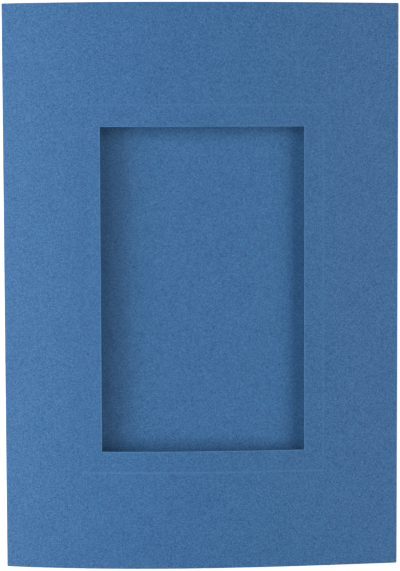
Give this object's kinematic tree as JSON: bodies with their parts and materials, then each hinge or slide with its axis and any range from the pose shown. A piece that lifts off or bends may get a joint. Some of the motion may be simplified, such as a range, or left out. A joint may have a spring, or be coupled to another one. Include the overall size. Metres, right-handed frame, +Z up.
{
  "type": "folded window card",
  "caption": "Folded card of matt blue card stock for a picture: arched front with a die-cut rectangular window and a pressed line round it, and creased accordion panels behind.",
  "frame": {"origin": "under the middle of the closed card, on the surface that it lies on", "axes": "+Z up out of the window, +Y along the folds towards the card's top, +X across the folds from the cover fold to the page fold"},
  "size_m": [0.105, 0.15, 0.0062],
  "materials": {
    "card_stock": "matt, through-dyed"
  },
  "bodies": {
    "back_leaf": {"back_panel": "card_stock", "page_fold": "card_stock"},
    "picture_leaf": {"picture_panel": "card_stock", "cover_fold": "card_stock"},
    "window_leaf": {"window_panel": "card_stock"}
  },
  "joints": [
    {"name": "page_turn", "type": "hinge", "parent": "back_leaf", "child": "picture_leaf", "pos_m": [0.0521, 0, 0.0004], "axis": [0, 1, 0], "range_deg": [0, 172.5], "deforming": ["page_fold"]},
    {"name": "cover_turn", "type": "hinge", "parent": "picture_leaf", "child": "window_leaf", "pos_m": [-0.0521, 0, 0.0009], "axis": [0, -1, 0], "range_deg": [0, 166], "deforming": ["cover_fold"]}
  ]
}
